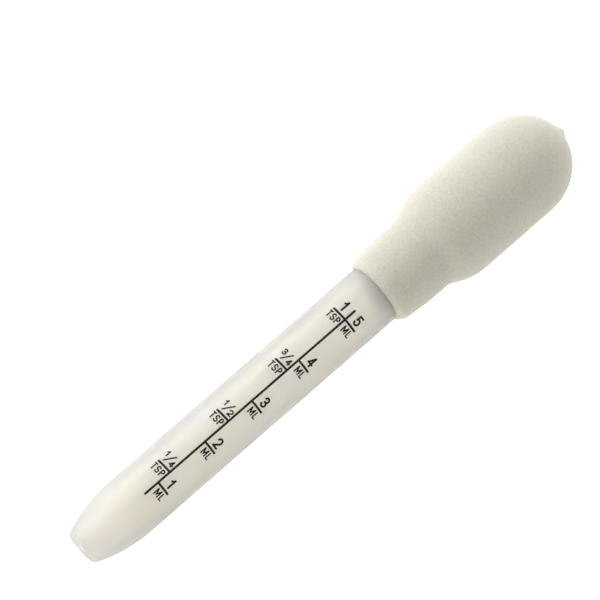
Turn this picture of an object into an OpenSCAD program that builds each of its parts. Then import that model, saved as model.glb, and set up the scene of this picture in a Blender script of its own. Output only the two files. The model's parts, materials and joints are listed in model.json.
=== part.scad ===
// Medicine dropper: a frosted barrel with a printed dose scale, and a soft bulb whose collar grips its top.
// It is drawn upright, tip down at z = 0, and then laid down as it rests on a table.

/* [Barrel] */
// Outer diameter of the barrel
barrel_d = 12.5; // [12.4:0.1:12.8]
// Wall thickness of the barrel
barrel_wall = 1.15; // [0.8:0.05:1.4]
// Length of the barrel that shows below the bulb's collar
exposed_len = 76.8; // [70:0.1:100]
// Length over which the tip narrows
tip_len = 13; // [10:0.5:16]
// Radius of the tip's long outward curve
tip_curve_r = 34.2; // [32:0.1:60]
// Radius of the rounded rim at the tip
tip_rim_r = 0.8; // [0.3:0.1:1.2]
// Thickness of the tip's end wall
end_wall = 3; // [1.5:0.1:4]
// How much higher the bore starts to narrow than the outside does
bore_taper_rise = 2.7; // [0:0.1:4]
// Diameter of the tip's hole
orifice_d = 2.4; // [1:0.1:3.5]
// Outer diameter of the barrel's top end, which the collar grips
grip_d = 12; // [11.6:0.1:12]

/* [Bulb] */
// Outer diameter of the bulb
bulb_d = 20.8; // [19:0.1:26]
// Wall thickness of the bulb
bulb_wall = 1.6; // [1:0.1:2.2]
// Outer diameter of the collar
collar_d = 16.2; // [15.5:0.1:18]
// Outer diameter of the collar at its lip
lip_d = 15.4; // [14.4:0.1:15.8]
// Length of the lip's rounded edge
lip_len = 2.5; // [1:0.1:3]
// Length over which the collar thickens from its lip
collar_taper_len = 7.5; // [6:0.5:10]
// Depth to which the barrel is pushed into the collar
grip_depth = 13.2; // [11:0.1:15]
// Height from the collar's lip to the bulb's widest stretch
shoulder_top = 20.2; // [19.8:0.1:24]
// Radius of the shoulder's curve
shoulder_r = 12.8; // [12:0.1:16]
// Length of the bulb's straight stretch
bulb_straight = 17.5; // [17:0.5:30]
// Height of the dome without its nub
dome_h = 11.6; // [9:0.1:14]
// Diameter of the nub where it rises from the dome
nub_d = 4.2; // [3:0.1:5]
// Radius of the nub's rounded end
nub_end_r = 0.9; // [0.5:0.1:1.2]
// Height of the nub above the dome
nub_h = 0.95; // [0.4:0.05:1.4]

/* [Squeeze] */
// Length of the wall that a thumb or finger presses, along the bulb
press_len = 16; // [12:0.5:16]
// Width of that wall across the bulb
press_w = 11; // [9:0.5:12]
// Gap round a pressed wall
press_gap = 0.15; // [0.1:0.05:0.3]

/* [Scale] */
// Height of the 1 ml line above the tip
first_mark = 18.6; // [17:0.1:22]
// Width of every printed line
line_w = 0.45; // [0.3:0.05:0.6]
// Thickness of the ink
ink_t = 0.04; // [0.02:0.01:0.08]
// Length of a teaspoon line, round the barrel
tsp_line = 3.4; // [2.5:0.1:4.5]
// Length of a millilitre line, round the barrel
ml_line = 3.2; // [2.5:0.1:4.5]

/* [Hidden] */
$fn = 96;

barrel_r = barrel_d / 2;
grip_r = grip_d / 2;
bore_r = barrel_r - barrel_wall;
bulb_r = bulb_d / 2;
collar_r = collar_d / 2;

// Rubber grips the barrel all round: the modelled gap is the least that lets the bulb slide off.
grip_gap = 0.03;
// The collar's lip stops at the step where the barrel's gripped end starts.
seat_gap = 0.05;
ledge_h = 1.2;
ledge_r = 5.6;
end_chamfer = 0.35;

barrel_top = exposed_len + grip_depth;
ledge_z = barrel_top + seat_gap;
shoulder_z = exposed_len + shoulder_top;
dome_z = shoulder_z + bulb_straight;
full_len = dome_z + dome_h + nub_h;

// The nub is a blunt cone. Its side leaves the dome at nub_base and runs on smoothly into its rounded end.
nub_foot = acos(nub_d / bulb_d);
nub_base = [nub_d / 2, dome_z + dome_h * sin(nub_foot)];
nub_z = full_len - nub_end_r;
nub_turn = atan2(nub_base[1] - nub_z, nub_base[0]) + acos(nub_end_r / norm(nub_base - [0, nub_z]));

// Centres of the curves in the outlines, as [radius, height].
tip_curve = [barrel_r - tip_curve_r, tip_len];
rim_centre_r = tip_curve[0] + sqrt(pow(tip_curve_r - tip_rim_r, 2) - pow(tip_len - tip_rim_r, 2));
rim_centre = [rim_centre_r, tip_rim_r];
rim_end = atan2(tip_rim_r - tip_len, rim_centre_r - tip_curve[0]);
bore_curve = [tip_curve[0], tip_len + bore_taper_rise];
bore_curve_r = tip_curve_r - barrel_wall;
shoulder = [bulb_r - shoulder_r, shoulder_z];

// Laid down, the dropper rests on the curve of its tip and on its shoulder: their common tangent is level.
rest_run = shoulder[1] - tip_curve[1];
rest_rise = shoulder[0] - tip_curve[0];
lie = atan2(rest_rise, rest_run) - asin((tip_curve_r - shoulder_r) / norm([rest_run, rest_rise]));
lift = tip_curve_r + tip_curve[0] * cos(lie) - tip_curve[1] * sin(lie);
low_x = (tip_rim_r * cos(lie) - rim_centre_r * sin(lie)) - tip_rim_r;
high_x = nub_z * cos(lie) + nub_end_r;

// The bore's area sets how far apart the lines of the scale are.
mm_per_ml = 1000 / (PI * pow(bore_r, 2));
ml_per_tsp = 5;
line_below = 3.6;
line_above = 2.8;

function arc(centre, rx, ry, from, to, steps = 12) =
    [for (i = [0:steps]) let (a = from + (to - from) * i / steps)
        [centre[0] + rx * cos(a), centre[1] + ry * sin(a)]];

function mark_z(ml) = first_mark + (ml - 1) * mm_per_ml;

// Turns the upright dropper onto its side, scale up, with the middle of its length over the origin.
module laid() {
    translate([-(low_x + high_x) / 2, 0, lift])
        rotate([0, 90 - lie, 0])
            rotate([0, 0, 180])
                children();
}

// ---- Barrel ----

function barrel_outside() = concat(
    arc(rim_centre, tip_rim_r, tip_rim_r, -90, rim_end, 6),
    arc(tip_curve, tip_curve_r, tip_curve_r, rim_end, 0, 16),
    [[barrel_r, exposed_len - seat_gap],
     [grip_r, exposed_len - seat_gap],
     [grip_r, barrel_top - end_chamfer],
     [grip_r - end_chamfer, barrel_top]]);

function bore_inside() = concat(
    [[bore_r, barrel_top]],
    arc(bore_curve, bore_curve_r, bore_curve_r, 0, asin((end_wall - bore_curve[1]) / bore_curve_r), 16),
    [[orifice_d / 2, end_wall]]);

module barrel() {
    color([0.85, 0.84, 0.79])
        laid()
            rotate_extrude()
                polygon(concat([[orifice_d / 2, 0]], barrel_outside(), bore_inside()));
}

// ---- Bulb ----

function collar_outside() =
    let (mouth_r = grip_r + grip_gap)
    concat(
        [[0, exposed_len]],
        arc([mouth_r, exposed_len + lip_len], lip_d / 2 - mouth_r, lip_len, -90, 0, 8),
        [[collar_r, exposed_len + collar_taper_len]]);

function bulb_outside() = concat(
    arc(shoulder, shoulder_r, shoulder_r, -acos((collar_r - shoulder[0]) / shoulder_r), 0, 14),
    arc([0, dome_z], bulb_r, dome_h, 0, nub_foot, 20),
    arc([0, nub_z], nub_end_r, nub_end_r, nub_turn, 90, 6));

function grip_inside() = [
    [0, exposed_len - 1],
    [grip_r + grip_gap, exposed_len - 1],
    [grip_r + grip_gap, ledge_z],
    [ledge_r, ledge_z],
    [ledge_r, ledge_z + ledge_h]];

function chamber_inside() =
    let (r = shoulder_r - bulb_wall)
    concat(
        arc(shoulder, r, r, asin((ledge_z + ledge_h - shoulder[1]) / r), 0, 12),
        arc([0, dome_z], bulb_r - bulb_wall, dome_h - bulb_wall, 0, 90, 20));

// Bar of the pressed wall's outline: right through the bulb, or from its axis out to one side.
module press_bar(inset, through) {
    r = press_w / 2 - inset;
    run = (press_len - press_w) / 2;
    translate([0, 0, shoulder_z + bulb_straight / 2])
        rotate([-90, 0, 0])
            linear_extrude(through ? 2 * bulb_d : bulb_d, center = through)
                union() {
                    square([2 * r, 2 * run], center = true);
                    for (y = [-run, run])
                        translate([0, y])
                            circle(r);
                }
}

module bulb() {
    color([0.93, 0.92, 0.86])
        laid()
            difference() {
                rotate_extrude()
                    polygon(concat(collar_outside(), bulb_outside()));
                rotate_extrude()
                    polygon(concat(grip_inside(), chamber_inside()));
                press_bar(0, true);
            }
}

// The stretch of the bulb's wall that is pressed in, on the side that turn says.
module pressed_wall(turn) {
    color([0.93, 0.92, 0.86])
        laid()
            rotate([0, 0, turn])
                intersection() {
                    press_bar(press_gap, false);
                    translate([0, 0, shoulder_z])
                        difference() {
                            cylinder(r = bulb_r, h = bulb_straight);
                            translate([0, 0, -1])
                                cylinder(r = bulb_r - bulb_wall, h = bulb_straight + 2);
                        }
                }
}

module thumb_wall() {
    pressed_wall(0);
}

module finger_wall() {
    pressed_wall(180);
}

// ---- Printed scale ----

// A film of ink on the barrel, from one height to another and from one distance round it to another.
// Distances round the barrel are measured from the long line, to the right as the scale is read.
module ink(z_from, z_to, from, to) {
    deg_per_mm = 180 / PI / barrel_r;
    rotate([0, 0, from * deg_per_mm])
        rotate_extrude(angle = (to - from) * deg_per_mm)
            translate([barrel_r, z_from])
                square([ink_t, z_to - z_from]);
}

module mark(ml, from, to) {
    ink(mark_z(ml) - line_w / 2, mark_z(ml) + line_w / 2, from, to);
}

module scale_line_print() {
    color([0.1, 0.1, 0.11])
        laid()
            ink(mark_z(1) - line_below, mark_z(ml_per_tsp) + line_above, -line_w / 2, line_w / 2);
}

module tsp_scale_print() {
    color([0.1, 0.1, 0.11])
        laid()
            for (quarter = [1:4])
                mark(quarter * ml_per_tsp / 4, -tsp_line, -line_w / 2);
}

module ml_scale_print() {
    color([0.1, 0.1, 0.11])
        laid()
            for (ml = [1:ml_per_tsp])
                mark(ml, line_w / 2, ml_line);
}

barrel();
bulb();
thumb_wall();
finger_wall();
scale_line_print();
tsp_scale_print();
ml_scale_print();
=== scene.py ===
import json
import math

import bmesh
import bpy
import numpy as np
from mathutils import Matrix, Vector
from mathutils.geometry import delaunay_2d_cdt


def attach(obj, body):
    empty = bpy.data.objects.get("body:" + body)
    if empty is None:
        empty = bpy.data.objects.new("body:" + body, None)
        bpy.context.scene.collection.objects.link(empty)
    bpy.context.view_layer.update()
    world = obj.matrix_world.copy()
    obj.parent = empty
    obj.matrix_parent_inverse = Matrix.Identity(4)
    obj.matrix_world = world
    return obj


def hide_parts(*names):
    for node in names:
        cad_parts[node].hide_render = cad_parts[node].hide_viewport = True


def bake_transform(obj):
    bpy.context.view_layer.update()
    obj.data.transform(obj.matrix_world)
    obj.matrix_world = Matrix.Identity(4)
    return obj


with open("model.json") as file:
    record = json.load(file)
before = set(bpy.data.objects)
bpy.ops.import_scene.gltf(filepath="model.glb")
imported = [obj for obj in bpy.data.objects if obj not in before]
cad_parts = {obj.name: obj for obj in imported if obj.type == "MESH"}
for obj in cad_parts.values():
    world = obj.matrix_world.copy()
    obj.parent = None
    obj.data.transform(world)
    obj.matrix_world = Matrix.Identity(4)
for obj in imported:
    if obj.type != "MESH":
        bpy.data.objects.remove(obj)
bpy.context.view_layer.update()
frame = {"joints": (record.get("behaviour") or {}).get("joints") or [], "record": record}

# ---- Where the dropper lies ----
# Lengths along the dropper run from its tip, in millimetres, and so do radii. MM turns them into metres.

MM = 0.001
MOUNTS = {m["name"]: m for m in frame["record"]["mounts"]}
PULL = next(j for j in frame["joints"] if j["name"] == "bulb_pull")
ORIFICE = MOUNTS["tip_orifice"]
AXIS = Vector(PULL["axis"]).normalized()
TIP = Vector(ORIFICE["pos_m"]) - AXIS * ORIFICE["dims"]["length_mm"] / 2 * MM
SCALE_SIDE = Vector((0, -1, 0)).cross(AXIS)
RIGHT = AXIS.cross(SCALE_SIDE)

# ---- Sizes, as in the CAD model ----

BARREL_R = MOUNTS["barrel_sleeve"]["dims"]["r_mm"]
ORIFICE_R = ORIFICE["dims"]["r_mm"]
END_WALL = ORIFICE["dims"]["length_mm"]
WALL = 1.15
BORE_R = BARREL_R - WALL
TIP_LEN = 13.0
TIP_CURVE_R = 34.2
TIP_RIM_R = 0.8
BORE_TAPER_RISE = 2.7
EXPOSED_LEN = 76.8
GRIP_DEPTH = 13.2
SEAT_GAP = 0.05
STEP = EXPOSED_LEN - SEAT_GAP
GRIP_R = 6.0
BARREL_TOP = EXPOSED_LEN + GRIP_DEPTH
END_CHAMFER = 0.35
SEAM_H = 0.035

COLLAR_START = EXPOSED_LEN
GRIP_BORE_R = GRIP_R + 0.03
LIP_R = 7.7
LIP_LEN = 2.5
COLLAR_R = 8.1
COLLAR_TAPER = 7.5
LEDGE_R = 5.6
LEDGE_START = BARREL_TOP + SEAT_GAP
LEDGE_END = LEDGE_START + 1.2
SHOULDER_END = COLLAR_START + 20.2
SHOULDER_R = 12.8
BULB_R = 10.4
BULB_WALL = 1.6
DOME_START = SHOULDER_END + 17.5
DOME_H = 11.6
NUB_D = 4.2
NUB_END_R = 0.9
NUB_H = 0.95

SEGMENTS = 192
STEP_ALONG = 0.5
SHARP = math.radians(35)

# ---- The printed scale ----

FIRST_MARK = 18.6
MM_PER_ML = 1000 / (math.pi * BORE_R ** 2)
ML_PER_TSP = 5
LINE_W = 0.45
LINE_BELOW = 3.6
LINE_ABOVE = 2.8
TSP_LINE = 3.4
ML_LINE = 3.2
FIGURE_H = 2.4
FIGURE_W = 1.4
FIGURE_STROKE = 0.4
FRACTION_W = 3.2
FRACTION_FIGURE = (1.05, 1.42)
FRACTION_STROKE = 0.29
LETTER_H = 1.65
LETTER_STROKE = 0.28
FIGURE_GAP = 0.62
LETTER_GAP = 0.5
TEXT_OFF = 1.98
INK_STRIP = 0.16
INK_T = 0.03
INK_SINK = 0.02
# The width of each of a unit's letters, and the gap between them.
UNITS = {"TSP": ((0.9, 0.95, 0.85), 0.2), "ML": ((1.2, 0.75), 0.25)}
# The two figures of the fraction for so many quarters of a teaspoon.
QUARTERS = {1: "14", 2: "12", 3: "34"}


def place(along, radius, angle):
    """Point at a distance from the tip and a radius, turned to the right from the scale's side."""
    out = SCALE_SIDE * math.cos(angle) + RIGHT * math.sin(angle)
    return TIP + (AXIS * along + out * radius) * MM


def arc(centre, along, radius, start, stop):
    """Points (along, radius) on an ellipse. Angles in degrees: 0 is straight out, 90 towards the bulb."""
    steps = math.ceil(max(along, radius) * math.radians(abs(stop - start)) / STEP_ALONG) + 2
    turns = [math.radians(start + (stop - start) * i / steps) for i in range(steps + 1)]
    return [(centre[0] + along * math.sin(a), centre[1] + radius * math.cos(a)) for a in turns]


def split(points, step):
    """The same line, with every stretch longer than step cut into equal parts."""
    fine = [points[0]]
    for a, b in zip(points, points[1:]):
        parts = max(1, math.ceil(math.dist(a, b) / step))
        for i in range(1, parts + 1):
            share = i / parts
            fine.append((a[0] + (b[0] - a[0]) * share, a[1] + (b[1] - a[1]) * share))
    return fine


def soften(points, passes, sharp):
    """Rounds the corners of a line a little, as a mould does, except where sharp(along, radius) says so."""
    p = np.array(points)
    loose = np.array([not sharp(*q) for q in points])
    loose[[0, -1]] = False
    for _ in range(passes):
        around = (np.roll(p, 1, 0) + 2 * p + np.roll(p, -1, 0)) / 4
        p[loose] = around[loose]
    return [tuple(q) for q in p]


def new_object(name, mesh):
    """An object of the scene that shows a mesh."""
    piece = bpy.data.objects.new(name, mesh)
    bpy.context.scene.collection.objects.link(piece)
    return piece


def lathe(name, outline, closed, lift=None, inner_row=None):
    """A solid of revolution. An open outline starts and ends on the axis. lift moves a point outwards.
    Faces from inner_row on take the second material."""
    bm = bmesh.new()
    rows = []
    for along, radius in outline:
        if radius < 1e-6:
            rows.append([bm.verts.new(place(along, 0, 0))])
            continue
        row = []
        for i in range(SEGMENTS):
            angle = 2 * math.pi * i / SEGMENTS
            extra = lift(along, radius, angle) if lift else 0
            row.append(bm.verts.new(place(along, radius + extra, angle)))
        rows.append(row)
    pairs = list(zip(rows, rows[1:]))
    if closed:
        pairs.append((rows[-1], rows[0]))
    for row, (a, b) in enumerate(pairs):
        for i in range(SEGMENTS):
            j = (i + 1) % SEGMENTS
            corners = [a[i % len(a)], a[j % len(a)], b[j % len(b)], b[i % len(b)]]
            face = bm.faces.new(list(dict.fromkeys(corners)))
            face.smooth = True
            face.material_index = int(inner_row is not None and row >= inner_row)
    bmesh.ops.recalc_face_normals(bm, faces=bm.faces)
    for edge in bm.edges:
        edge.smooth = edge.calc_face_angle() < SHARP
    mesh = bpy.data.meshes.new(name)
    bm.to_mesh(mesh)
    bm.free()
    return new_object(name, mesh)


# ---- Barrel ----


def barrel_outline():
    """The barrel's closed section: up the outside from the hole to the open top, and back down the bore."""
    curve_c = (TIP_LEN, BARREL_R - TIP_CURVE_R)
    rim_r = curve_c[1] + math.sqrt((TIP_CURVE_R - TIP_RIM_R) ** 2 - (TIP_LEN - TIP_RIM_R) ** 2)
    rim_end = math.degrees(math.atan2(TIP_RIM_R - TIP_LEN, rim_r - curve_c[1]))
    bore_c = (TIP_LEN + BORE_TAPER_RISE, curve_c[1])
    bore_curve = TIP_CURVE_R - WALL
    floor = math.degrees(math.asin((END_WALL - bore_c[0]) / bore_curve))
    outside = (
        [(0, ORIFICE_R)]
        + arc((TIP_RIM_R, rim_r), TIP_RIM_R, TIP_RIM_R, -90, rim_end)
        + arc(curve_c, TIP_CURVE_R, TIP_CURVE_R, rim_end, 0)
        + [(STEP, BARREL_R), (STEP, GRIP_R), (BARREL_TOP - END_CHAMFER, GRIP_R)]
        + [(BARREL_TOP, GRIP_R - END_CHAMFER)]
    )
    inside = (
        [(BARREL_TOP, BORE_R)]
        + arc(bore_c, bore_curve, bore_curve, 0, floor)
        + [(END_WALL, ORIFICE_R)]
    )
    return outside + inside


def barrel_seam(along, radius, angle):
    """The mould's parting line: a hair of plastic along both sides of the exposed barrel."""
    outside = radius > BORE_R + WALL / 2 or along < TIP_LEN and radius > ORIFICE_R + 0.5
    on_seam = min(abs(angle - math.pi / 2), abs(angle - math.pi * 3 / 2)) < math.pi / SEGMENTS / 2
    return SEAM_H if outside and on_seam and 1.5 < along < STEP - 1 else 0


def in_step(along, radius):
    """True from the step on, where the gripped end keeps its exact size."""
    return along > STEP - 0.5


def make_barrel():
    outline = soften(split(barrel_outline(), 3 * STEP_ALONG), 1, in_step)
    piece = lathe("frosted_barrel", outline, closed=True, lift=barrel_seam)
    piece.data.materials.append(frosted_plastic())
    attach(piece, "barrel")
    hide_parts("barrel")
    return piece


# ---- Bulb ----


def bulb_outline():
    """The bulb's section in two lines: from the nub down the outside to the lip, and back up the inside."""
    shoulder_c = (SHOULDER_END, BULB_R - SHOULDER_R)
    waist = -math.degrees(math.acos((COLLAR_R - shoulder_c[1]) / SHOULDER_R))
    foot = math.degrees(math.acos(NUB_D / 2 / BULB_R))
    base = (DOME_START + DOME_H * math.sin(math.radians(foot)), NUB_D / 2)
    nub_c = (DOME_START + DOME_H + NUB_H - NUB_END_R, 0)
    slope = math.atan2(base[0] - nub_c[0], base[1]) + math.acos(NUB_END_R / math.dist(base, nub_c))
    inner = SHOULDER_R - BULB_WALL
    neck = math.degrees(math.asin((LEDGE_END - shoulder_c[0]) / inner))
    outside = (
        arc(nub_c, NUB_END_R, NUB_END_R, 90, math.degrees(slope))
        + arc((DOME_START, 0), DOME_H, BULB_R, foot, 0)
        + arc(shoulder_c, SHOULDER_R, SHOULDER_R, 0, waist)
        + [(COLLAR_START + COLLAR_TAPER, COLLAR_R)]
        + arc((COLLAR_START + LIP_LEN, GRIP_BORE_R), LIP_LEN, LIP_R - GRIP_BORE_R, 0, -90)
    )
    inside = (
        [(LEDGE_START, GRIP_BORE_R), (LEDGE_START, LEDGE_R), (LEDGE_END, LEDGE_R)]
        + arc(shoulder_c, inner, inner, neck, 0)
        + arc((DOME_START, 0), DOME_H - BULB_WALL, BULB_R - BULB_WALL, 0, 90)
    )
    return split(outside, STEP_ALONG), split(inside, STEP_ALONG)


def in_grip(along, radius):
    """True inside the collar, where the rubber keeps the exact bore and ledge that fit the barrel."""
    return along < LEDGE_END and radius < GRIP_BORE_R + 0.2


def make_bulb():
    outside, inside = bulb_outline()
    outline = soften(outside + inside, 3, in_grip)
    piece = lathe("soft_bulb", outline, closed=False, inner_row=len(outside))
    piece.data.materials.append(soft_rubber("matte_bulb_rubber", RUBBER))
    # The inner faces take the same rubber painted lighter, as painted light inside the collar.
    piece.data.materials.append(soft_rubber("inner_bulb_rubber_painted_lighter", RUBBER_INSIDE_PAINTED_LIGHTER))
    bend_with_squeeze(piece)
    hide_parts("bulb", "thumb_wall", "finger_wall")
    return piece


def bend_with_squeeze(piece):
    """Bakes the bulb's placement into its mesh; no blend is set here for the pressed walls."""
    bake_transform(piece)


# ---- Printed scale ----
# Ink is drawn flat, x to the right of the long line and y up from the tip, and then laid round the barrel.
# A figure or letter is a list of strokes in a box one unit wide and high.


def mark_at(ml):
    """Distance from the tip to the line of so many millilitres."""
    return FIRST_MARK + (ml - 1) * MM_PER_ML


def bend(x, y, rx, ry, start, stop):
    """Points on an ellipse, from one angle in degrees to another; 0 is right and 90 is up."""
    steps = math.ceil(abs(stop - start) / 15)
    turns = [math.radians(start + (stop - start) * i / steps) for i in range(steps + 1)]
    return [(x + rx * math.cos(a), y + ry * math.sin(a)) for a in turns]


STROKES = {
    "1": [[(0.62, 1), (0.62, 0)], [(0.15, 0.72), (0.4, 0.79), (0.58, 0.95)]],
    "2": [bend(0.5, 0.7, 0.47, 0.3, 165, -35) + [(0.06, 0.04)], [(0.03, 0), (1, 0)]],
    "3": [
        bend(0.48, 0.75, 0.42, 0.25, 160, -85),
        bend(0.5, 0.26, 0.48, 0.26, 85, -160),
        [(0.36, 0.51), (0.52, 0.51)],
    ],
    "4": [[(0.72, 1), (0.72, 0)], [(0.66, 0.94), (0.04, 0.3)], [(0, 0.27), (1, 0.27)]],
    "5": [[(0.92, 1), (0.2, 1), (0.13, 0.52)], bend(0.48, 0.32, 0.5, 0.32, 130, -160)],
    "/": [[(0.1, 0), (0.9, 1)]],
    "T": [[(0, 1), (1, 1)], [(0.5, 1), (0.5, 0)]],
    "S": [bend(0.5, 0.75, 0.44, 0.25, 25, 270) + bend(0.5, 0.25, 0.5, 0.25, 90, -160)[1:]],
    "P": [[(0, 0), (0, 1)], [(0, 1)] + bend(0.6, 0.74, 0.4, 0.26, 90, -90) + [(0, 0.48)]],
    "M": [[(0, 0), (0, 1)], [(1, 0), (1, 1)], [(0.05, 0.95), (0.5, 0.22), (0.95, 0.95)]],
    "L": [[(0, 1), (0, 0), (1, 0)]],
}


def ribbon(points, width):
    """A stroke's outline: the line widened to both sides, with mitred corners and square ends."""
    line = [Vector(p) for p in points]
    line[0] += (line[0] - line[1]).normalized() * width / 2
    line[-1] += (line[-1] - line[-2]).normalized() * width / 2
    left, right = [], []
    for i, p in enumerate(line):
        before = (p - line[i - 1]).normalized() if i else None
        after = (line[i + 1] - p).normalized() if i + 1 < len(line) else None
        way = ((before or after) + (after or before)).normalized()
        side = Vector((-way.y, way.x))
        reach = width / 2 / max(0.3, way.dot(after or before))
        left.append(p + side * reach)
        right.append(p - side * reach)
    return right + left[::-1]


def write(character, middle, foot, width, height, stroke):
    """The outlines of one figure or letter, centred on middle with its foot at foot."""
    x0, y0 = middle - (width - stroke) / 2, foot + stroke / 2
    outlines = []
    for path in STROKES[character]:
        placed = [(x0 + x * (width - stroke), y0 + y * (height - stroke)) for x, y in path]
        outlines.append(ribbon(placed, stroke))
    return outlines


def write_unit(unit, middle, at):
    """A unit's letters, just below the line at a height. UNITS holds their widths and gap."""
    widths, gap = UNITS[unit]
    outlines = []
    x = middle - (sum(widths) + gap * (len(widths) - 1)) / 2
    for letter, width in zip(unit, widths):
        outlines += write(letter, x + width / 2, at - LETTER_GAP - LETTER_H, width, LETTER_H, LETTER_STROKE)
        x += width + gap
    return outlines


def write_fraction(top, bottom, middle, foot):
    """A small figure over another, with a slash between them."""
    w, h = FRACTION_FIGURE
    half = FRACTION_W / 2
    return (
        write(top, middle - half + w / 2, foot + FIGURE_H - h, w, h, FRACTION_STROKE)
        + write("/", middle, foot, FRACTION_W * 0.62, FIGURE_H, FRACTION_STROKE)
        + write(bottom, middle + half - w / 2, foot, w, h, FRACTION_STROKE)
    )


def bar(x0, x1, y0, y1, rounded):
    """A line of ink, with a half-round end at each side that rounded names."""
    r = min(x1 - x0, y1 - y0) / 2
    cap = {
        "left": bend(x0 + r, y0 + r, r, r, 90, 270),
        "right": bend(x1 - r, y0 + r, r, r, -90, 90),
        "foot": bend(x0 + r, y0 + r, r, r, 180, 360),
        "top": bend(x0 + r, y1 - r, r, r, 0, 180),
    }
    if "foot" in rounded:
        return [cap["foot"] + cap["top"]]
    if "left" in rounded:
        return [cap["left"] + [(x1, y0), (x1, y1)]]
    return [cap["right"] + [(x0, y1), (x0, y0)]]


def merge(outlines):
    """One flat mesh of all the outlines, without the holes inside them. Outlines run counter-clockwise."""
    points = [Vector(p) for outline in outlines for p in outline]
    first = 0
    faces = []
    for outline in outlines:
        faces.append(list(range(first, first + len(outline))))
        first += len(outline)
    flat, _, triangles, _, _, sources = delaunay_2d_cdt(points, [], faces, 1, 1e-4)
    bm = bmesh.new()
    corners = [bm.verts.new((p.x, p.y, 0)) for p in flat]
    for triangle, source in zip(triangles, sources):
        if source:
            bm.faces.new([corners[i] for i in triangle])
    bmesh.ops.delete(bm, geom=[v for v in bm.verts if not v.link_faces], context="VERTS")
    bmesh.ops.dissolve_limit(bm, angle_limit=0.01, verts=bm.verts, edges=bm.edges)
    return bm


def cut_in_strips(bm):
    """Cuts the flat ink along the barrel, finely enough to follow its curve."""
    low = min(v.co.x for v in bm.verts)
    high = max(v.co.x for v in bm.verts)
    cuts = math.ceil((high - low) / INK_STRIP)
    for i in range(1, cuts):
        cut = (low + (high - low) * i / cuts, 0, 0)
        everything = bm.verts[:] + bm.edges[:] + bm.faces[:]
        bmesh.ops.bisect_plane(bm, geom=everything, plane_co=cut, plane_no=(1, 0, 0), dist=1e-5)
    bmesh.ops.triangulate(bm, faces=bm.faces)


def lay_ink(name, outlines, node):
    """Lays flat outlines round the barrel as thin solids of ink."""
    bm = merge(outlines)
    cut_in_strips(bm)
    top = bmesh.ops.extrude_face_region(bm, geom=bm.faces[:], use_keep_orig=True)
    for item in top["geom"]:
        if isinstance(item, bmesh.types.BMVert):
            item.co.z = 1
    bmesh.ops.recalc_face_normals(bm, faces=bm.faces)
    for v in bm.verts:
        radius = BARREL_R + (INK_T if v.co.z > 0.5 else -INK_SINK)
        v.co = place(v.co.y, radius, v.co.x / BARREL_R)
    mesh = bpy.data.meshes.new(name)
    bm.to_mesh(mesh)
    bm.free()
    piece = new_object(name, mesh)
    piece.data.materials.append(black_ink())
    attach(piece, "barrel")
    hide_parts(node)
    return piece


def make_scale_line():
    low, high = mark_at(1) - LINE_BELOW, mark_at(ML_PER_TSP) + LINE_ABOVE
    line = bar(-LINE_W / 2, LINE_W / 2, low, high, ("foot", "top"))
    return lay_ink("long_line_ink", line, "scale_line_print")


def make_tsp_scale():
    outlines = []
    for quarter in range(1, 5):
        at = mark_at(quarter * ML_PER_TSP / 4)
        outlines += bar(-TSP_LINE, -LINE_W / 2, at - LINE_W / 2, at + LINE_W / 2, ("left",))
        outlines += write_unit("TSP", -TEXT_OFF, at)
        if quarter in QUARTERS:
            top, bottom = QUARTERS[quarter]
            outlines += write_fraction(top, bottom, -TEXT_OFF, at + FIGURE_GAP)
        else:
            outlines += write("1", -TEXT_OFF, at + FIGURE_GAP, FIGURE_W, FIGURE_H, FIGURE_STROKE)
    return lay_ink("tsp_ink", outlines, "tsp_scale_print")


def make_ml_scale():
    outlines = []
    for ml in range(1, ML_PER_TSP + 1):
        at = mark_at(ml)
        outlines += bar(LINE_W / 2, ML_LINE, at - LINE_W / 2, at + LINE_W / 2, ("right",))
        outlines += write_unit("ML", TEXT_OFF, at)
        outlines += write(str(ml), TEXT_OFF, at + FIGURE_GAP, FIGURE_W, FIGURE_H, FIGURE_STROKE)
    return lay_ink("ml_ink", outlines, "ml_scale_print")


# ---- Materials ----

RUBBER = ((0.56, 0.545, 0.463), (0.632, 0.617, 0.53))
# The bulb's inside is the same rubber as its outside, painted much lighter: painted light inside the collar
# and bulb, seen through the barrel.
RUBBER_INSIDE_PAINTED_LIGHTER = ((0.90, 0.87, 0.76), (0.95, 0.93, 0.84))


def material(name):
    """A new material: itself, its nodes, its shader, and the place on the object that its patterns use."""
    m = bpy.data.materials.new(name)
    m.use_nodes = True
    nodes = m.node_tree.nodes
    where = nodes.new("ShaderNodeTexCoord").outputs["Object"]
    return m, m.node_tree, nodes["Principled BSDF"], where


def noise(tree, where, scale, detail, roughness=0.55):
    """A cloudy pattern from 0 to 1, with so many clouds to the metre."""
    n = tree.nodes.new("ShaderNodeTexNoise")
    n.inputs["Scale"].default_value = scale
    n.inputs["Detail"].default_value = detail
    n.inputs["Roughness"].default_value = roughness
    tree.links.new(where, n.inputs["Vector"])
    return n.outputs["Fac"]


def ramp(tree, value, stops):
    """A colour for each value: stops are (position, colour)."""
    r = tree.nodes.new("ShaderNodeValToRGB")
    while len(r.color_ramp.elements) < len(stops):
        r.color_ramp.elements.new(0.5)
    for element, (position, colour) in zip(r.color_ramp.elements, stops):
        element.position = position
        element.color = (*colour, 1)
    tree.links.new(value, r.inputs["Fac"])
    return r.outputs["Color"]


def spread(tree, value, low, high):
    """Maps a pattern's middle range onto low to high."""
    r = tree.nodes.new("ShaderNodeMapRange")
    r.inputs["From Min"].default_value = 0.3
    r.inputs["From Max"].default_value = 0.7
    r.inputs["To Min"].default_value = low
    r.inputs["To Max"].default_value = high
    tree.links.new(value, r.inputs["Value"])
    return r.outputs["Result"]


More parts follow.
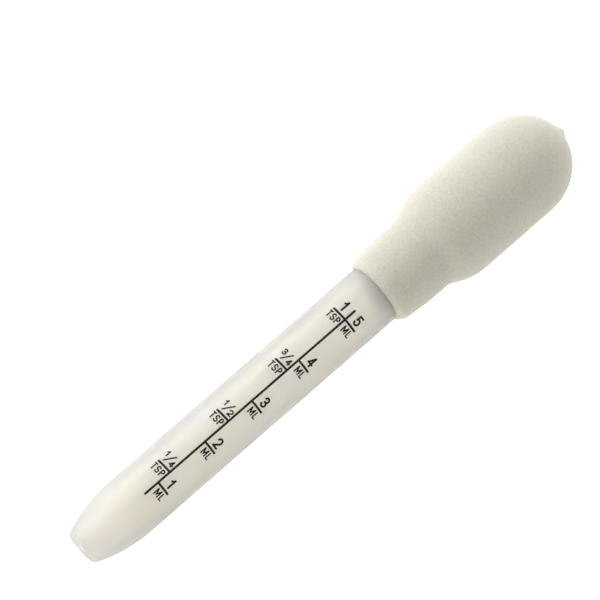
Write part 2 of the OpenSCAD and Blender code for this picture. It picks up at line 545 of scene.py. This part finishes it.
def bump(tree, shader, layers):
    """Stacks bumps: each layer is (height, depth in metres)."""
    normal = None
    for height, depth in layers:
        b = tree.nodes.new("ShaderNodeBump")
        b.inputs["Distance"].default_value = depth
        b.inputs["Strength"].default_value = 1
        tree.links.new(height, b.inputs["Height"])
        if normal:
            tree.links.new(normal, b.inputs["Normal"])
        normal = b.outputs["Normal"]
    tree.links.new(normal, shader.inputs["Normal"])


def frosted_plastic():
    """Milky polyethylene: light goes into the wall and comes out softly on both sides of it."""
    m, tree, shader, where = material("frosted_polyethylene")
    cloud = noise(tree, where, 90, 2)
    colour = ramp(tree, cloud, [(0.3, (0.975, 0.942, 0.86)), (0.7, (0.988, 0.965, 0.90))])
    tree.links.new(colour, shader.inputs["Base Color"])
    haze = noise(tree, where, 700, 3)
    tree.links.new(spread(tree, haze, 0.42, 0.52), shader.inputs["Roughness"])
    shader.inputs["IOR"].default_value = 1.51
    shader.inputs["Transmission Weight"].default_value = 0.72
    shader.inputs["Subsurface Weight"].default_value = 1.0
    shader.inputs["Subsurface Radius"].default_value = (1.0, 0.95, 0.8)
    shader.inputs["Subsurface Scale"].default_value = 0.002
    grain = noise(tree, where, 5200, 2)
    ripple = noise(tree, where, 260, 2)
    bump(tree, shader, [(ripple, 0.00003), (grain, 0.000006)])
    return m


def soft_rubber(name, colours):
    """Matte off-white rubber with the fine grain of its mould. A little light passes through its wall."""
    m, tree, shader, where = material(name)
    mottle = noise(tree, where, 2400, 3, 0.6)
    colour = ramp(tree, mottle, [(0.36, colours[0]), (0.64, colours[1])])
    tree.links.new(colour, shader.inputs["Base Color"])
    scuff = noise(tree, where, 900, 4)
    tree.links.new(spread(tree, scuff, 0.66, 0.84), shader.inputs["Roughness"])
    shader.inputs["IOR"].default_value = 1.5
    shader.inputs["Specular IOR Level"].default_value = 0.06
    shader.inputs["Subsurface Weight"].default_value = 0.7
    shader.inputs["Subsurface Radius"].default_value = (1.0, 0.9, 0.7)
    shader.inputs["Subsurface Scale"].default_value = 0.0024
    grain = noise(tree, where, 2200, 3)
    pits = noise(tree, where, 800, 2)
    bump(tree, shader, [(pits, 0.0001), (grain, 0.00012)])
    return m


def black_ink():
    """Pad-printed ink: thin, slightly uneven, with a low sheen."""
    m, tree, shader, where = material("scale_ink")
    cloud = noise(tree, where, 2600, 3)
    colour = ramp(tree, cloud, [(0.35, (0.003, 0.003, 0.004)), (0.75, (0.012, 0.012, 0.013))])
    tree.links.new(colour, shader.inputs["Base Color"])
    tree.links.new(spread(tree, cloud, 0.38, 0.55), shader.inputs["Roughness"])
    shader.inputs["Specular IOR Level"].default_value = 0.3
    bump(tree, shader, [(noise(tree, where, 6000, 2), 0.000004)])
    return m


def pale_floor():
    """Matte white, with an even glow from below as on a light table."""
    m, tree, shader, where = material("pale_floor")
    colour = ramp(tree, noise(tree, where, 6, 2), [(0.3, (0.94, 0.94, 0.94)), (0.7, (0.96, 0.96, 0.96))])
    tree.links.new(colour, shader.inputs["Base Color"])
    shader.inputs["Roughness"].default_value = 0.8
    shader.inputs["Specular IOR Level"].default_value = 0.2
    shader.inputs["Emission Color"].default_value = (1, 1, 1, 1)
    shader.inputs["Emission Strength"].default_value = 0.58
    return m


# ---- Floor, light and camera ----
# Angles are in degrees, and LOW and HIGH say how far a lamp leans from straight above. Lamps are in watts.
# Distances are in metres here, but AIM_ALONG is in millimetres from the tip, like the sizes above.

CAMERA_TILT = 12.9
CAMERA_ROLL = 41.0
CAMERA_DISTANCE = 1.94
LENS = 600
AIM_ALONG = 63.5
AIM_RIGHT_M = -0.00468
AIM_UP_M = 0.0073
LOW = 78
HIGH = 45
LAMP_DISTANCE = 1.2
LAMP_SIZE = 0.8
KEY_POWER = 9.2
KEY_COLOUR = (0.95, 0.965, 1.0)
DOME_FILL_POWER = 3.2
TIP_FILL_POWER = 3.0
FILL_COLOUR = (1.0, 0.98, 0.95)
ROOM_BRIGHT = (0.64, 0.64, 0.64)
ROOM_DIM = (0.34, 0.34, 0.34)


def make_floor():
    bpy.ops.mesh.primitive_grid_add(x_subdivisions=8, y_subdivisions=8, size=3)
    floor = bpy.context.object
    floor.name = "floor"
    floor.data.materials.append(pale_floor())


def camera_axes():
    """Towards the camera, and the picture's right and up."""
    tilt = math.radians(CAMERA_TILT)
    roll = math.radians(CAMERA_ROLL)
    back = SCALE_SIDE * math.cos(tilt) - AXIS * math.sin(tilt)
    along = (AXIS - back * AXIS.dot(back)).normalized()
    aside = back.cross(along)
    right = along * math.cos(roll) - aside * math.sin(roll)
    up = along * math.sin(roll) + aside * math.cos(roll)
    return back, right, up


def make_camera():
    back, right, up = camera_axes()
    target = TIP + AXIS * AIM_ALONG * MM + right * AIM_RIGHT_M + up * AIM_UP_M
    data = bpy.data.cameras.new("camera")
    data.sensor_width = 36
    data.lens = LENS
    data.clip_start = 0.01
    data.clip_end = 20
    camera = bpy.data.objects.new("camera", data)
    bpy.context.scene.collection.objects.link(camera)
    camera.location = target + back * CAMERA_DISTANCE
    camera.rotation_mode = "QUATERNION"
    camera.rotation_quaternion = Matrix((right, up, back)).transposed().to_quaternion()
    bpy.context.scene.camera = camera


def add_lamp(name, side, lean, power, colour):
    """A large soft lamp aimed at the dropper's middle, leaning from straight above towards one side."""
    data = bpy.data.lights.new(name, "AREA")
    data.shape = "DISK"
    data.size = LAMP_SIZE
    data.energy = power
    data.color = colour
    light = bpy.data.objects.new(name, data)
    bpy.context.scene.collection.objects.link(light)
    lean = math.radians(lean)
    way = SCALE_SIDE * math.cos(lean) + side * math.sin(lean)
    light.location = TIP + AXIS * AIM_ALONG * MM + way * LAMP_DISTANCE
    light.rotation_mode = "QUATERNION"
    light.rotation_quaternion = way.to_track_quat("Z", "Y")


def make_room():
    """A pale room, dimmer low down on the side away from the lamp."""
    world = bpy.data.worlds.new("studio")
    bpy.context.scene.world = world
    world.use_nodes = True
    tree = world.node_tree
    direction = tree.nodes.new("ShaderNodeTexCoord").outputs["Generated"]
    away = tree.nodes.new("ShaderNodeVectorMath")
    away.operation = "DOT_PRODUCT"
    away.inputs[1].default_value = (RIGHT - SCALE_SIDE * 0.6).normalized()
    tree.links.new(direction, away.inputs[0])
    shade = ramp(tree, away.outputs["Value"], [(0.0, ROOM_BRIGHT), (0.8, ROOM_DIM)])
    tree.links.new(shade, tree.nodes["Background"].inputs["Color"])


def make_light():
    """A lamp on the dropper's left, a weak one beyond each end, and the room. The floor glows by itself."""
    add_lamp("key", -RIGHT, LOW, KEY_POWER, KEY_COLOUR)
    add_lamp("dome_fill", AXIS, LOW, DOME_FILL_POWER, FILL_COLOUR)
    add_lamp("tip_fill", -AXIS, HIGH, TIP_FILL_POWER, FILL_COLOUR)
    make_room()
    bpy.context.scene.view_settings.view_transform = "Standard"


make_barrel()
make_bulb()
make_scale_line()
make_tsp_scale()
make_ml_scale()
make_floor()
make_camera()
make_light()
